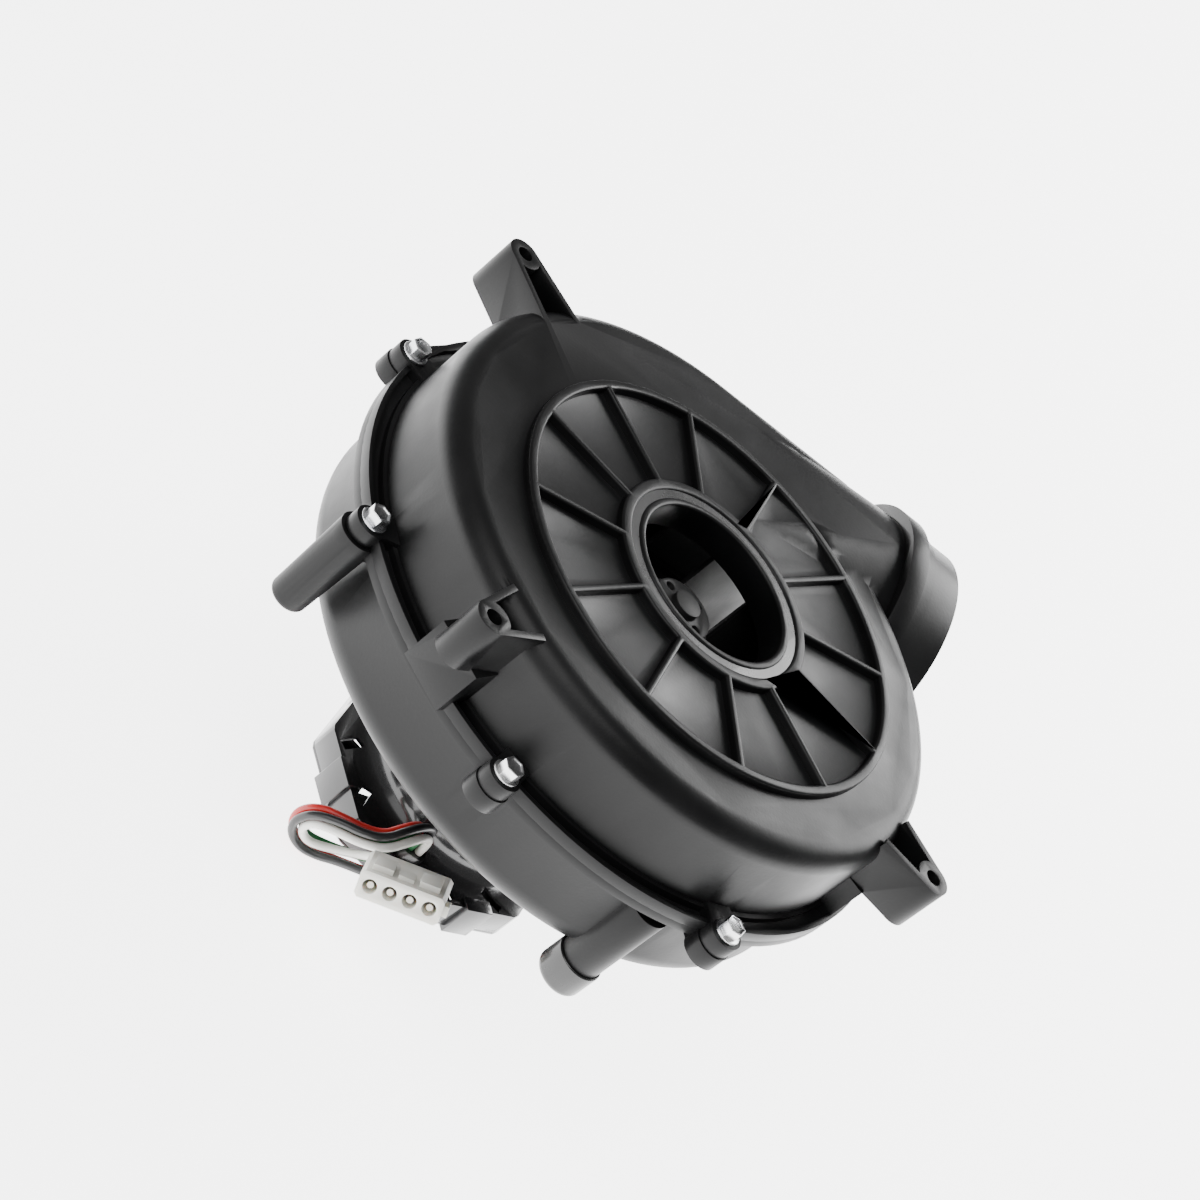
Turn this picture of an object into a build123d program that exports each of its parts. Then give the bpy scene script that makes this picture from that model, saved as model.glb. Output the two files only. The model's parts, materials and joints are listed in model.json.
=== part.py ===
from build123d import *
import math
import os

# Draft inducer blower: scroll housing, wheel, motor, leads and plug.  Millimetres.
# Z is the wheel's axis, pointing out of the inlet.  Z = 0 is the plane of the three mounting ears' faces,
# X points along the outlet and Y from the wheel towards the outlet's side of the scroll.

# ---- scroll housing ----
R_LOW = 96.0            # scroll radius about the wheel's axis, from the cut-off round to the bottom
R_HIGH = 101.7          # scroll radius of the other half, about a raised centre
DEPTH = 72.0            # housing depth, front face to back face
PARTING = 35.0          # front half's depth
WALL = 2.5
FRONT_ROUND = 8.0
BACK_ROUND = 11.0
CUTOFF_DEG = 45.0       # where the scroll wall meets the outlet duct
THROAT_X = 60.0         # where the flat top of the scroll ends
# ---- outlet ----
OUTLET_Y = 81.5
DUCT_R = 41.0
DUCT_START_X = 6.0
DUCT_START_WIDTH = 74.0
DUCT_SINK = 1.0         # how far the duct starts under the scroll's surface
DUCT_ROUND_X = 74.0     # where the duct has become round
DUCT_END_X = 82.0
SPIGOT_R = 42.0
SPIGOT_WALL = 2.5
SPIGOT_END_X = 101.0
SPIGOT_STEP = 0.6       # the root's step up, where the vent's coupling stops
SPIGOT_SEAT_X = 90.0
RING_R = 45.0
RING_START_X = 77.0
RING_END_X = 84.5
# ---- flange round the parting plane ----
FLANGE_OUT = 7.0
LIP_WIDTH = 1.8
LEDGE_WIDTH = 1.5
LIP_HEIGHT = 4.0        # above the parting plane
FLANGE_FLOOR = 1.6
REAR_FLANGE = 3.0
SEAL_DEPTH = 0.6
# ---- front face ----
RIB_COUNT = 12
RIB_PHASE = 12.5
RIB_WIDTH = 2.3
RIB_HEIGHT = 3.0
RING_MID_R = 73.0
RING_RIB_WIDTH = 3.4
COLLAR_R = 38.0
INLET_R = 28.3
INLET_LIP_R = 30.9
GROOVE_OUT_R = 34.0
GROOVE_DEPTH = 2.0
INLET_DEPTH = 8.0       # the inlet's inner skirt, below the front face
# ---- mounting ears: hole centre, and the same three for every feature of an ear ----
EARS = [(-85.2, 90.3), (-76.5, -79.2), (96.8, -54.2)]
EAR_HOLE_R = 2.75
EAR_TIP_R = 6.0
EAR_ARM = 2.3
EAR_ROOT = 17.0
EAR_LENGTH = 18.5
# ---- housing screws ----
SCREWS = [(-100.2, 50.8), (-103.3, -34.5), (-44.6, -96.4), (41.3, -97.2), (104.6, -4.0), (-21.0, 115.0)]
BOSS_R = 5.8
BOSS_TOP = -PARTING + 5.5
BOSS_BOTTOM = -PARTING - 6.0
SHANK_R = 1.9
SHANK_LENGTH = 10.0
HEAD_AF = 6.35
HEAD_HEIGHT = 3.6
WASHER_R = 4.5
WASHER_THICK = 0.9
POST_INDEX = 1          # the screw whose boss is drawn out into the long post
POST_R = 7.2
POST_TIP_R = 6.2
POST_END = -DEPTH + 2.0
WEB_END = (-78.5, 78.0)   # where the web from the first screw boss meets the first ear's foot
WEB_WIDTH = 2.2
# ---- drain ----
DRAIN = (21.3, -93.0)
DRAIN_R = 6.4
DRAIN_BORE_R = 4.0
DRAIN_END = -DEPTH - 8.0
CAP_R = 8.1
CAP_TOP = -DEPTH + 1.0
CAP_END = DRAIN_END - 2.5
CAP_GAP = 0.05
CAP_SPACE = 0.4         # round the outside of the cap where the back wall comes near it
# ---- wheel ----
WHEEL_R = 74.0
BACKPLATE_Z = -DEPTH + 12.0
BACKPLATE = 2.0
BLADE_COUNT = 12
BLADE_THICK = 1.6
BLADE_IN_R = 33.0
BLADE_TOP = -12.0
SHROUD_IN_R = 58.0
CONE_R = 27.0
CONE_TOP_R = 12.5
CONE_TOP = -14.5
HUB_R = 11.0
HUB_SLEEVE_R = 6.5
HUB_FACE = -11.5
HUB_HOLE_R = 1.6
# ---- motor ----
SHAFT_R = 4.0
SHAFT_CLEAR = 0.05
MOTOR_R = 30.0
SHEET = 1.2
MOTOR_GAP = 4.0         # the isolation grommets' thickness between housing and motor
NOSE_Z = -DEPTH - MOTOR_GAP
FLARE_R = 8.0
DISH_Z = NOSE_Z - 48.0
DISH_FLAT = MOTOR_R + 12.5  # half width across the dish's eight flats
DISH_R = MOTOR_R + 15.5
DISH_END = DISH_Z - 10.0
SHAFT_END = DISH_END + 3.0
DISH_TURN = 4.0         # of one of the dish's corners, degrees from X
SCREW_CIRCLE = 21.5
MOTOR_SCREWS = 3
MOTOR_SCREW_R = 2.0
GROMMET_R = 7.5
GROMMET_NECK_R = 4.5
BEARING_R = 8.0
BEARING_LENGTH = 8.0
STACK_TOP = NOSE_Z - 12.0
STACK_END = STACK_TOP - 19.0
ROTOR_R = 15.0
AIR_GAP = 0.4
WINDING = 4.0
CARRIER_Z = STACK_END - 5.0
FAN_R = 27.0
FAN_TOP = DISH_Z + 2.5
SLOT_COUNT = 12
SLOT_R = MOTOR_R + 8.5
# ---- leads and plug ----
LEAD_D = 2.8
LEAD_EXIT = (-11.0, -34.5)
LEAD_PITCH = 3.4
GROMMET_NECK = 0.6       # round the leads, through the sheet
GROMMET_LIP = 1.6        # round the leads, on each side of the sheet
GROMMET_TOP = DISH_Z + 4.0
GROMMET_END = DISH_Z - 4.0
PLUG_PITCH = 6.35
PLUG_WIDTH = 27.0
PLUG_HEIGHT = 9.0
PLUG_DEPTH = 20.0
PLUG_APPROACH = 8.0      # the leads' straight run into the plug's back
PLUG_FACE = (-22.4, -75.4, -106.5)
PLUG_OUT = (-0.3135, -0.8969, 0.3113)
PLUG_ROW = (0.888, -0.160, 0.432)
CAVITY_R = 2.3
CAVITY_DEPTH = 12.0


def disc(radius, z_low, z_high, centre=(0, 0)):
    return Pos(centre[0], centre[1], (z_low + z_high) / 2) * Cylinder(radius, z_high - z_low)


def tube(outer, inner, z_low, z_high, centre=(0, 0)):
    return disc(outer, z_low, z_high, centre) - disc(inner, z_low - 1, z_high + 1, centre)


def block(x0, x1, y0, y1, z0, z1):
    return Pos((x0 + x1) / 2, (y0 + y1) / 2, (z0 + z1) / 2) * Box(x1 - x0, y1 - y0, z1 - z0)


def polar(radius, degrees):
    return (radius * math.cos(math.radians(degrees)), radius * math.sin(math.radians(degrees)))


def scroll_face(offset):
    """The scroll's outline, moved outward by offset."""
    low = R_LOW + offset
    high = R_HIGH + offset
    rise = R_HIGH - R_LOW
    start = polar(low, CUTOFF_DEG)
    side = polar(low, (CUTOFF_DEG - 90) / 2)
    edges = ThreePointArc(start, side, (0, -low))
    edges += ThreePointArc((0, -low), (-high, rise), (0, rise + high))
    edges += Line((0, rise + high), (THROAT_X, rise + high))
    edges += Line((THROAT_X, rise + high), start)
    return make_face(edges)


def scroll_block(inset, z_low, z_high, low_round, high_round):
    body = extrude(Pos(0, 0, z_low) * scroll_face(-inset), z_high - z_low)
    body = fillet(body.faces().sort_by(Axis.Z)[-1].edges(), high_round)
    return fillet(body.faces().sort_by(Axis.Z)[0].edges(), low_round)


def duct_block(inset):
    """The outlet duct: a rounded rectangle inside the scroll that turns into a circle."""
    top = R_HIGH * 2 - R_LOW - inset - DUCT_SINK
    width = DUCT_START_WIDTH - 2 * inset
    depth = DEPTH - 2 * (inset + DUCT_SINK)
    start = Plane(origin=(DUCT_START_X, top - width / 2, -DEPTH / 2), x_dir=(0, 1, 0), z_dir=(1, 0, 0))
    end = Plane(origin=(DUCT_ROUND_X, OUTLET_Y, -PARTING), x_dir=(0, 1, 0), z_dir=(1, 0, 0))
    radius = DUCT_R - inset
    first = start * RectangleRounded(width, depth, BACK_ROUND - inset)
    last = end * RectangleRounded(2 * radius, 2 * radius, radius - 0.05)
    return loft([first, last], ruled=True) + extrude(last, DUCT_END_X - DUCT_ROUND_X)


def outer_block():
    return scroll_block(0, -DEPTH, 0, BACK_ROUND, FRONT_ROUND) + duct_block(0)


def inner_block():
    cavity = scroll_block(WALL, -DEPTH + WALL, -WALL, BACK_ROUND - WALL, FRONT_ROUND - WALL)
    opening = outlet_disc(DUCT_R - WALL, DUCT_END_X - 2, DUCT_END_X + 2)
    bore = outlet_disc(SPIGOT_R - SPIGOT_WALL, DUCT_END_X, SPIGOT_END_X)
    return cavity + duct_block(WALL) + opening + bore


def outlet_disc(radius, x0, x1):
    return Pos((x0 + x1) / 2, OUTLET_Y, -PARTING) * Rot(0, 90, 0) * Cylinder(radius, x1 - x0)


def outlet_zone(margin):
    """Space round the duct's end and the spigot that the flange keeps out of."""
    return outlet_disc(RING_R + margin, RING_START_X - 12, SPIGOT_END_X + 10)


def flange_band(inner, outer, z_low, z_high):
    band = extrude(Pos(0, 0, z_low) * scroll_face(outer), z_high - z_low)
    band -= extrude(Pos(0, 0, z_low) * scroll_face(inner), z_high - z_low)
    return band - outlet_zone(1.5)


def ear_directions(index):
    """Unit vector from the scroll's middle to the ear, and the one across it."""
    x, y = EARS[index]
    length = math.hypot(x, y)
    return (x / length, y / length), (-y / length, x / length), length


def ear_block(index):
    """A V of two arms with a round boss at its tip, standing on a foot that reaches the flange."""
    out, across, length = ear_directions(index)
    root = R_LOW - 3
    arms = Part()
    for side in (-1, 1):
        tip = [EARS[index][i] + side * (EAR_TIP_R - EAR_ARM / 2) * across[i] for i in (0, 1)]
        foot = [out[i] * root + side * (EAR_ROOT / 2) * across[i] for i in (0, 1)]
        run = math.hypot(tip[0] - foot[0], tip[1] - foot[1])
        angle = math.degrees(math.atan2(tip[1] - foot[1], tip[0] - foot[0]))
        middle = ((tip[0] + foot[0]) / 2, (tip[1] + foot[1]) / 2)
        arm = Pos(middle[0], middle[1], -EAR_LENGTH / 2) * Rot(0, 0, angle) * Box(run, EAR_ARM, EAR_LENGTH)
        arms += arm
    boss = disc(EAR_TIP_R, -EAR_LENGTH, 0, EARS[index])
    angle = math.degrees(math.atan2(out[1], out[0]))
    foot_end = R_HIGH + FLANGE_OUT - 1.5 if index < 2 else R_LOW + FLANGE_OUT - 1.5
    middle = ((root + foot_end) / 2 * out[0], (root + foot_end) / 2 * out[1])
    height = PARTING - EAR_LENGTH + 1
    foot = Pos(middle[0], middle[1], -PARTING + height / 2) * Rot(0, 0, angle)
    foot *= Box(foot_end - root, EAR_ROOT + EAR_ARM, height)
    floor = Pos((root + length) / 2 * out[0], (root + length) / 2 * out[1], -EAR_LENGTH + 1) * Rot(0, 0, angle)
    floor *= Box(length - root, 2 * EAR_TIP_R - 1, 2)
    return arms + boss + foot + floor


def front_ribs():
    ribs = tube(RING_MID_R + RING_RIB_WIDTH / 2, RING_MID_R - RING_RIB_WIDTH / 2, -0.5, RIB_HEIGHT)
    start = (COLLAR_R + GROOVE_OUT_R) / 2
    length = RING_MID_R - start
    for i in range(RIB_COUNT):
        angle = RIB_PHASE + i * 360 / RIB_COUNT
        x, y = polar((RING_MID_R + start) / 2, angle)
        ribs += Pos(x, y, RIB_HEIGHT / 2 - 0.25) * Rot(0, 0, angle) * Box(length, RIB_WIDTH, RIB_HEIGHT + 0.5)
    return ribs


def inlet_collar():
    collar = disc(COLLAR_R, -WALL, RIB_HEIGHT)
    skirt = disc(INLET_LIP_R + 1.5, -INLET_DEPTH, 0)
    return collar + skirt


def inlet_cuts():
    bore = disc(INLET_R, -INLET_DEPTH - 5, RIB_HEIGHT + 1)
    groove = tube(GROOVE_OUT_R, INLET_LIP_R, RIB_HEIGHT - GROOVE_DEPTH, RIB_HEIGHT + 1)
    return bore + groove


def web_bar(z_low, z_high):
    """The straight web that joins the first screw boss to the first ear."""
    ax, ay = SCREWS[0]
    bx, by = WEB_END
    ax -= BOSS_R - WEB_WIDTH
    angle = math.degrees(math.atan2(by - ay, bx - ax))
    run = math.hypot(bx - ax, by - ay)
    place = Pos((ax + bx) / 2, (ay + by) / 2, (z_low + z_high) / 2)
    return place * Rot(0, 0, angle) * Box(run, WEB_WIDTH, z_high - z_low)


def boss_bridge(centre, z_low, z_high):
    """Fills the gap between a screw boss and the scroll's wall."""
    reach = math.hypot(*centre)
    angle = math.degrees(math.atan2(centre[1], centre[0]))
    inner = R_LOW - 1
    x, y = polar((inner + reach) / 2, angle)
    return Pos(x, y, (z_low + z_high) / 2) * Rot(0, 0, angle) * Box(reach - inner, BOSS_R * 1.7, z_high - z_low)


def front_housing():
    cavity = inner_block()
    body = outer_block() & block(-200, 200, -200, 200, -PARTING, 20)
    body += flange_band(-1, FLANGE_OUT, -PARTING, -PARTING + FLANGE_FLOOR)
    body += flange_band(FLANGE_OUT - LIP_WIDTH, FLANGE_OUT, -PARTING, -PARTING + LIP_HEIGHT)
    body += flange_band(-1, LEDGE_WIDTH, -PARTING, -PARTING + LIP_HEIGHT)
    body += web_bar(-PARTING, -PARTING + LIP_HEIGHT)
    for i in range(len(EARS)):
        body += ear_block(i)
    for centre in SCREWS:
        body += disc(BOSS_R, -PARTING, BOSS_TOP, centre) + boss_bridge(centre, -PARTING, BOSS_TOP)
    body += front_ribs() + inlet_collar()
    body -= cavity - disc(INLET_LIP_R + 1.5, -INLET_DEPTH, 0)
    body -= inlet_cuts()
    for centre in SCREWS:
        body -= disc(SHANK_R, -PARTING - 1, BOSS_TOP + 1, centre)
    for centre in EARS:
        body -= disc(EAR_HOLE_R, -PARTING - 1, 1, centre)
    body -= seal_groove()
    return body


def seal_groove():
    return flange_band(0.4, 2.6, -PARTING, -PARTING + SEAL_DEPTH)


def rear_housing():
    body = outer_block() & block(-200, 200, -200, 200, -DEPTH - 20, -PARTING)
    body += flange_band(-1, FLANGE_OUT, -PARTING - REAR_FLANGE, -PARTING)
    body += web_bar(-PARTING - REAR_FLANGE, -PARTING)
    for i, centre in enumerate(SCREWS):
        body += disc(BOSS_R + 0.4, BOSS_BOTTOM, -PARTING, centre)
        body += boss_bridge(centre, BOSS_BOTTOM, -PARTING)
        if i == POST_INDEX:
            height = -PARTING - POST_END
            post = Pos(centre[0], centre[1], POST_END + height / 2) * Cone(POST_TIP_R, POST_R, height)
            body += fillet(post.faces().sort_by(Axis.Z)[0].edges(), 2)
    body -= disc(CAP_R + CAP_SPACE, -DEPTH - 1, CAP_TOP, DRAIN)
    body += disc(DRAIN_R, DRAIN_END, -PARTING - 6, DRAIN)
    body += disc(DRAIN_R + 0.9, CAP_TOP, -PARTING - 6, DRAIN)
    body -= inner_block()
    body -= disc(DRAIN_BORE_R, DRAIN_END - 1, -50, DRAIN)
    for centre in SCREWS:
        body -= disc(SHANK_R, BOSS_TOP - SHANK_LENGTH - 0.5, -PARTING + 1, centre)
    body -= disc(12, -DEPTH - 1, -DEPTH + WALL + 1)
    for i in range(MOTOR_SCREWS):
        body -= disc(GROMMET_NECK_R, -DEPTH - 1, -DEPTH + WALL + 1, polar(SCREW_CIRCLE, 90 + 120 * i))
    return body


def outlet_coupling():
    """The round outlet: a socket over the duct's end, a raised ring and the spigot with its stepped root."""
    bore = SPIGOT_R - SPIGOT_WALL
    body = outlet_disc(RING_R, RING_START_X, RING_END_X)
    body += outlet_disc(SPIGOT_R + SPIGOT_STEP, RING_END_X, SPIGOT_SEAT_X)
    body += outlet_disc(SPIGOT_R, SPIGOT_SEAT_X, SPIGOT_END_X)
    body -= outlet_disc(DUCT_R, RING_START_X - 1, DUCT_END_X)
    body -= outlet_disc(bore, RING_START_X, SPIGOT_END_X + 1)
    return body - scroll_block(0, -DEPTH, 0, BACK_ROUND, FRONT_ROUND)


def inlet_gasket():
    return tube(GROOVE_OUT_R, INLET_LIP_R, RIB_HEIGHT - GROOVE_DEPTH, RIB_HEIGHT - 0.6)


def hex_screw(centre, seat, af, head, washer_r, washer, shank_r, shank):
    body = disc(washer_r, seat, seat + washer, centre)
    hexagon = RegularPolygon(af / 2, 6, major_radius=False)
    body += extrude(Pos(centre[0], centre[1], seat + washer) * hexagon, head)
    return body + disc(shank_r, seat - shank, seat, centre)


def housing_screws():
    screws = []
    for centre in SCREWS:
        args = (BOSS_TOP, HEAD_AF, HEAD_HEIGHT, WASHER_R, WASHER_THICK, SHANK_R, SHANK_LENGTH)
        screws.append(hex_screw(centre, *args))
    return Compound(screws)


def drain_cap():
    body = disc(CAP_R, CAP_END, CAP_TOP, DRAIN)
    body = fillet(body.faces().sort_by(Axis.Z)[0].edges(), 2.5)
    return body - disc(DRAIN_R + CAP_GAP, DRAIN_END - 0.1, CAP_TOP + 1, DRAIN)


def impeller():
    top = BACKPLATE_Z + BACKPLATE
    body = disc(WHEEL_R, BACKPLATE_Z, top)
    height = CONE_TOP - top
    outer = Pos(0, 0, top + height / 2) * Cone(CONE_R, CONE_TOP_R, height)
    inner = Pos(0, 0, top + height / 2 - 2) * Cone(CONE_R - 2, CONE_TOP_R - 2, height)
    tall = -BACKPLATE_Z + BLADE_TOP
    length = WHEEL_R - BLADE_IN_R
    blades = Part()
    for i in range(BLADE_COUNT):
        blade = Pos((WHEEL_R + BLADE_IN_R) / 2, 0, 0) * Rot(0, 0, -22) * Box(length, BLADE_THICK, tall)
        blades += Rot(0, 0, i * 360 / BLADE_COUNT) * Pos(0, 0, BLADE_TOP - tall / 2) * blade
    blades &= disc(WHEEL_R, BACKPLATE_Z, BLADE_TOP)
    shroud = tube(WHEEL_R, SHROUD_IN_R, BLADE_TOP - 1.6, BLADE_TOP)
    body = body + outer + blades + shroud
    body -= inner - disc(HUB_SLEEVE_R + 2.5, BACKPLATE_Z - 1, CONE_TOP)
    body -= disc(HUB_SLEEVE_R, BACKPLATE_Z - 1, CONE_TOP + 1)
    return body


def impeller_hub():
    body = disc(HUB_SLEEVE_R, BACKPLATE_Z - 2, CONE_TOP)
    body += disc(HUB_R, CONE_TOP, HUB_FACE)
    body += disc(5.0, HUB_FACE, HUB_FACE + 2.5)
    body -= disc(SHAFT_R, BACKPLATE_Z - 3, HUB_FACE + 1.5)
    for i in range(4):
        body -= disc(HUB_HOLE_R, HUB_FACE - 1.8, HUB_FACE + 1, polar(8.0, 45 + 90 * i))
    return body


def motor_shaft():
    body = disc(SHAFT_R, SHAFT_END, HUB_FACE + 1)
    return chamfer(body.faces().sort_by(Axis.Z)[0].edges(), 0.5)


def rotor_core():
    return tube(ROTOR_R, SHAFT_R, STACK_END, STACK_TOP)


def rotor_end_rings():
    top = tube(ROTOR_R - 1.5, SHAFT_R, STACK_TOP, STACK_TOP + 1.5)
    low = tube(ROTOR_R - 1.5, SHAFT_R, STACK_END - 1.5, STACK_END)
    return Compound([top, low])


def stator_core():
    body = tube(MOTOR_R - SHEET, ROTOR_R + AIR_GAP, STACK_END, STACK_TOP)
    for i in range(8):
        x, y = polar(20.0, 45 * i)
        body -= disc(2.6, STACK_END - 1, STACK_TOP + 1, (x, y))
    return body


def stator_windings():
    coils = []
    for low, high in ((STACK_TOP, STACK_TOP + WINDING), (STACK_END - WINDING, STACK_END)):
        ring = tube(MOTOR_R - 4.5, ROTOR_R + AIR_GAP + 1.8, low, high)
        edge = ring.faces().sort_by(Axis.Z)[-1 if low == STACK_TOP else 0].edges()
        coils.append(fillet(edge, 1.5))
    return Compound(coils)


def shell_profile(outer):
    """Solid of revolution: the motor's nose, its flare and its dish, shrunk by the sheet when inner."""
    inset = 0 if outer else SHEET
    nose = MOTOR_R - inset
    flare = FLARE_R + inset
    bend = DISH_Z + FLARE_R
    start = NOSE_Z - inset
    edges = Line((0, start), (nose, start))
    edges += Line((nose, start), (nose, bend))
    middle = (MOTOR_R + FLARE_R - flare * math.cos(math.pi / 4), bend - flare * math.sin(math.pi / 4))
    edges += ThreePointArc((nose, bend), middle, (MOTOR_R + FLARE_R, bend - flare))
    rim = DISH_R - inset
    edges += Line((MOTOR_R + FLARE_R, bend - flare), (rim, bend - flare))
    edges += Line((rim, bend - flare), (rim, DISH_END - (0 if outer else 1)))
    edges += Line((rim, DISH_END - (0 if outer else 1)), (0, DISH_END - (0 if outer else 1)))
    edges += Line((0, DISH_END - (0 if outer else 1)), (0, start))
    profile = make_face(Plane.XZ * edges)
    body = revolve(profile, Axis.Z)
    flats = RegularPolygon(DISH_FLAT - inset, 8, major_radius=False)
    return body & extrude(Pos(0, 0, DISH_END - 5) * Rot(0, 0, DISH_TURN) * flats, 80)


def vent_slots(z_low, z_high):
    slots = Part()
    for i in range(SLOT_COUNT):
        angle = 8 + i * 360 / SLOT_COUNT
        if not 245 < angle < 275:
            x, y = polar(SLOT_R, angle)
            slots += Pos(x, y, (z_low + z_high) / 2) * Rot(0, 0, angle + 35) * Box(8.5, 3.6, z_high - z_low)
    return slots


def motor_shell():
    body = shell_profile(True) - shell_profile(False)
    seat = NOSE_Z - SHEET
    body += disc(BEARING_R + SHEET, seat - BEARING_LENGTH, NOSE_Z)
    body -= disc(BEARING_R, seat - BEARING_LENGTH - 1, seat)
    body -= disc(SHAFT_R + 1.5, NOSE_Z - 20, NOSE_Z + 1)
    for i in range(MOTOR_SCREWS):
        body -= disc(MOTOR_SCREW_R, NOSE_Z - 5, NOSE_Z + 1, polar(SCREW_CIRCLE, 90 + 120 * i))
    body -= vent_slots(DISH_Z - 4, DISH_Z + 6)
    body -= lead_hole(GROMMET_NECK, GROMMET_END - 1, GROMMET_TOP + 6)
    return body


def motor_nuts():
    nuts = []
    for i in range(MOTOR_SCREWS):
        x, y = polar(SCREW_CIRCLE, 90 + 120 * i)
        hexagon = extrude(Pos(x, y, NOSE_Z - SHEET - 3) * RegularPolygon(3.5, 6, major_radius=False), 3)
        nuts.append(hexagon - disc(MOTOR_SCREW_R, NOSE_Z - 10, NOSE_Z, (x, y)))
    return Compound(nuts)


def motor_screws():
    screws = []
    seat = -DEPTH + WALL + 1.5
    for i in range(MOTOR_SCREWS):
        centre = polar(SCREW_CIRCLE, 90 + 120 * i)
        length = seat - NOSE_Z + SHEET + 4
        screws.append(hex_screw(centre, seat, 5.5, 2.6, 4.6, 0.8, MOTOR_SCREW_R, length))
    return Compound(screws)


def isolation_grommets():
    rings = []
    for i in range(MOTOR_SCREWS):
        centre = polar(SCREW_CIRCLE, 90 + 120 * i)
        ring = disc(GROMMET_R, NOSE_Z, -DEPTH, centre)
        ring += disc(GROMMET_NECK_R, -DEPTH, -DEPTH + WALL, centre)
        ring += disc(GROMMET_R, -DEPTH + WALL, -DEPTH + WALL + 1.5, centre)
        rings.append(ring - disc(MOTOR_SCREW_R, NOSE_Z - 1, -DEPTH + WALL + 3, centre))
    return Compound(rings)


def shaft_seal():
    body = disc(12, -DEPTH, -DEPTH + WALL) + disc(14, -DEPTH - 1.5, -DEPTH)
    return body - disc(SHAFT_R + SHAFT_CLEAR, -DEPTH - 5, -DEPTH + 5)


def bearing(z_high):
    return tube(BEARING_R, SHAFT_R + SHAFT_CLEAR, z_high - BEARING_LENGTH, z_high)


def bearing_carrier():
    """The end shield inside the shell, with windows round the rear bearing's seat."""
    body = disc(MOTOR_R - SHEET, CARRIER_Z - 1.5, CARRIER_Z)
    body += disc(BEARING_R + 1.5, CARRIER_Z - BEARING_LENGTH, CARRIER_Z)
    for i in range(6):
        x, y = polar(20.0, 60 * i)
        body -= disc(5.0, CARRIER_Z - 3, CARRIER_Z + 1, (x, y))
    return body - disc(BEARING_R, CARRIER_Z - 20, CARRIER_Z + 1)


def cooling_fan():
    body = disc(8.0, FAN_TOP - 8, FAN_TOP)
    body += disc(FAN_R, FAN_TOP - 8, FAN_TOP - 6.8)
    for i in range(9):
        x, y = polar((FAN_R + 7) / 2, 40 * i)
        body += Pos(x, y, FAN_TOP - 3.6) * Rot(0, 0, 40 * i) * Box(FAN_R - 7, 1.2, 6.4)
    return body - disc(SHAFT_R, FAN_TOP - 9, FAN_TOP + 1)


def motor_end_cover():
    flats = RegularPolygon(DISH_FLAT, 8, major_radius=False)
    plate = extrude(Pos(0, 0, DISH_END - SHEET) * Rot(0, 0, DISH_TURN) * flats, SHEET)
    plate &= disc(DISH_R, DISH_END - 2, DISH_END + 1)
    for i in range(18):
        x, y = polar(26.0, 20 * i)
        plate -= Pos(x, y, DISH_END) * Rot(0, 0, 20 * i) * Box(16, 3.0, 6)
    return plate


def cover_clips():
    """Spring clips that hook over the dish's rim and the end cover."""
    clips = []
    for i in range(4):
        angle = DISH_TURN + 22.5 + 90 * i
        reach = DISH_FLAT + 1.6
        outer = block(reach - 5, reach, -5.5, 5.5, DISH_END - SHEET - 1.2, DISH_Z + 1.2)
        outer -= block(reach - 6, DISH_FLAT, -6, 6, DISH_END - SHEET, DISH_Z)
        clips.append(Rot(0, 0, angle) * outer)
    return Compound(clips)


def lead_hole(grow, z_low, z_high):
    """A rounded square round the bundle of four leads."""
    width = LEAD_PITCH + LEAD_D + 2 * grow
    square = RectangleRounded(width, width, LEAD_D / 2 + grow)
    return extrude(Pos(LEAD_EXIT[0], LEAD_EXIT[1], z_low) * square, z_high - z_low)


def lead_grommet():
    """The bushing in the motor's flare, with a lip on each side of the sheet."""
    body = lead_hole(GROMMET_LIP, GROMMET_END, GROMMET_TOP)
    body -= shell_profile(True) - shell_profile(False)
    return body + lead_hole(GROMMET_NECK, GROMMET_END, GROMMET_TOP)


def plug_plane():
    return Plane(origin=PLUG_FACE, x_dir=PLUG_ROW, z_dir=PLUG_OUT)


def plug_place(index, depth):
    """Centre of a circuit of the plug, depth behind its mating face, in the object's frame."""
    local = Vector((index - 1.5) * PLUG_PITCH, 0, -depth)
    return plug_plane().from_local_coords(local)


def plug_housing():
    body = Pos(0, 0, -PLUG_DEPTH / 2) * Box(PLUG_WIDTH, PLUG_HEIGHT, PLUG_DEPTH)
    body = chamfer(body.edges().filter_by(Axis.Z), 1.2)
    for x in (-7.5, 7.5):
        body += Pos(x, PLUG_HEIGHT / 2 + 0.8, -7.5) * Box(6.5, 2.0, 9)
    body += Pos(0, PLUG_HEIGHT / 2 + 0.5, -6) * Box(5, 1.4, 6)
    body += Pos(PLUG_WIDTH / 2 + 0.8, 0, -5) * Box(1.8, 3.5, 5)
    for i in range(4):
        x = (i - 1.5) * PLUG_PITCH
        body -= Pos(x, 0, -CAVITY_DEPTH / 2) * Cylinder(CAVITY_R, CAVITY_DEPTH)
    return plug_plane() * body


def plug_pins():
    pins = []
    for i in range(4):
        x = (i - 1.5) * PLUG_PITCH
        pin = Pos(x, 0, -CAVITY_DEPTH / 2 - 0.75) * Cylinder(1.05, CAVITY_DEPTH - 1.5)
        pins.append(plug_plane() * pin)
    return Compound(pins)


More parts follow.
